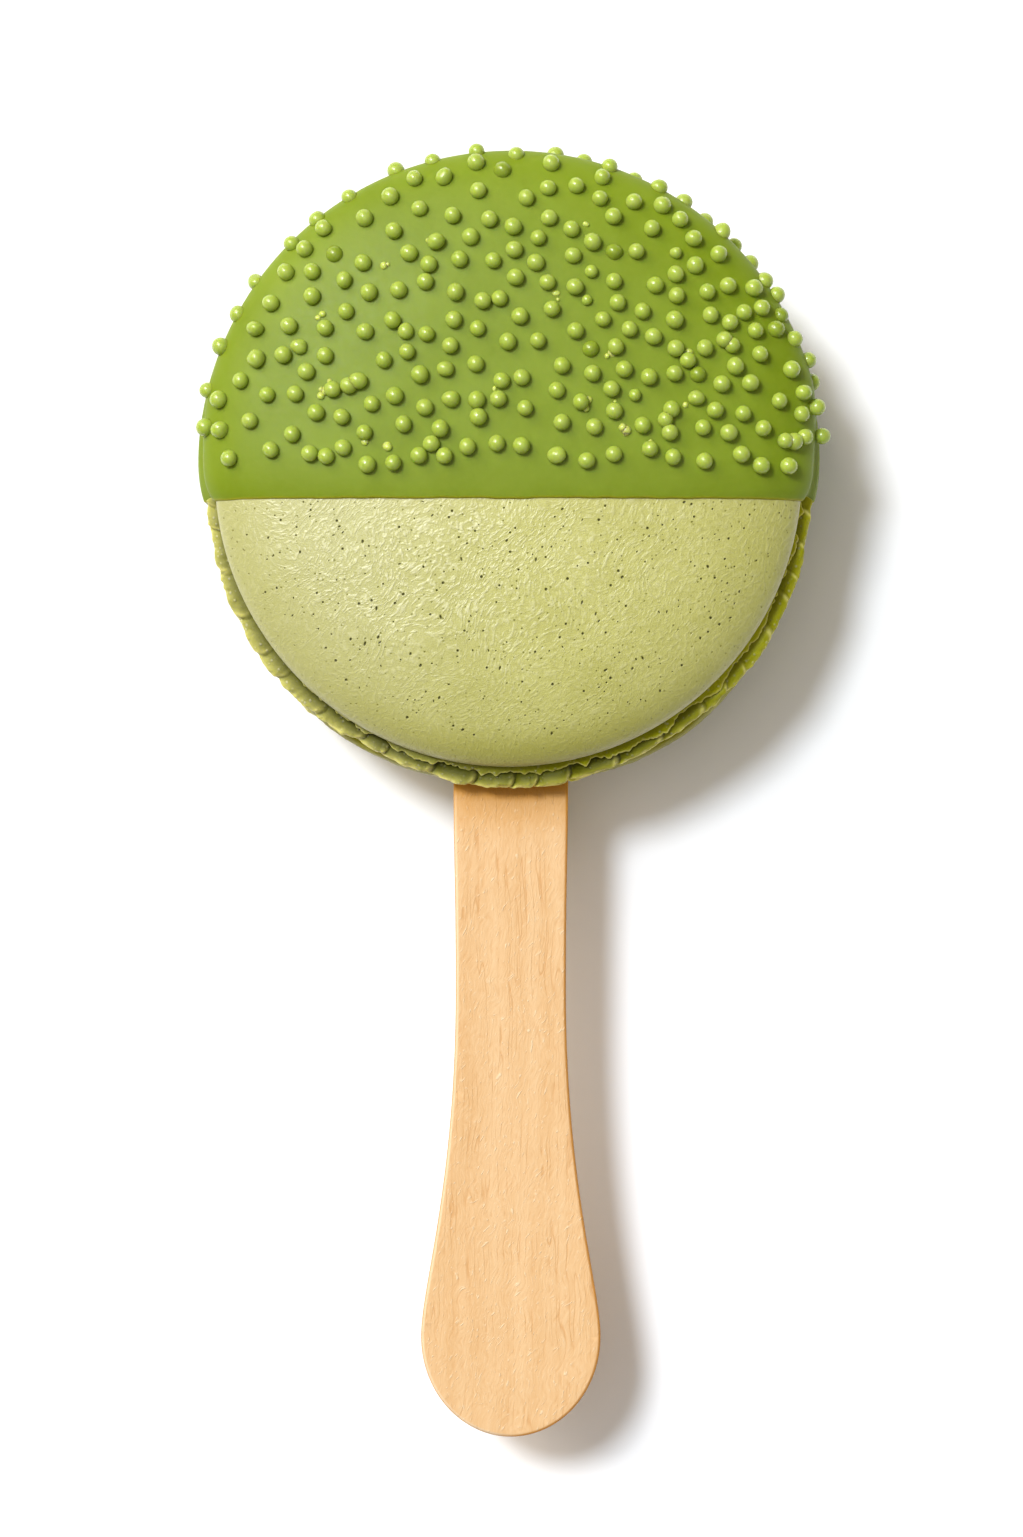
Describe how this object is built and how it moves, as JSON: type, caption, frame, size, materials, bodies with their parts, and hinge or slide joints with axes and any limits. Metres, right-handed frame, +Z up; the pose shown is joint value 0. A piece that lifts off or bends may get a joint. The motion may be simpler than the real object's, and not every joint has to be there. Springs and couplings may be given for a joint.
{
  "type": "french macaron on a stick",
  "caption": "Round green macaron on a flat wooden stick, half dipped in a green coating dotted with small pearls, for eating by hand.",
  "frame": {"origin": "on the surface that the macaron lies on, under the centre of its feet, on the coating's flat underside", "axes": "+Z up through the front of the macaron; +Y along the stick, away from its handle end; +X to the right, seen from above with the stick towards the viewer"},
  "size_m": [0.0601, 0.1246, 0.024],
  "materials": {
    "shell": "matte",
    "filling": "satin",
    "coating": "satin",
    "wood": "matte"
  },
  "bodies": {
    "root": {"upper_shell": "shell", "lower_shell": "shell", "filling": "filling", "coating": "coating", "stick": "wood"}
  },
  "joints": []
}
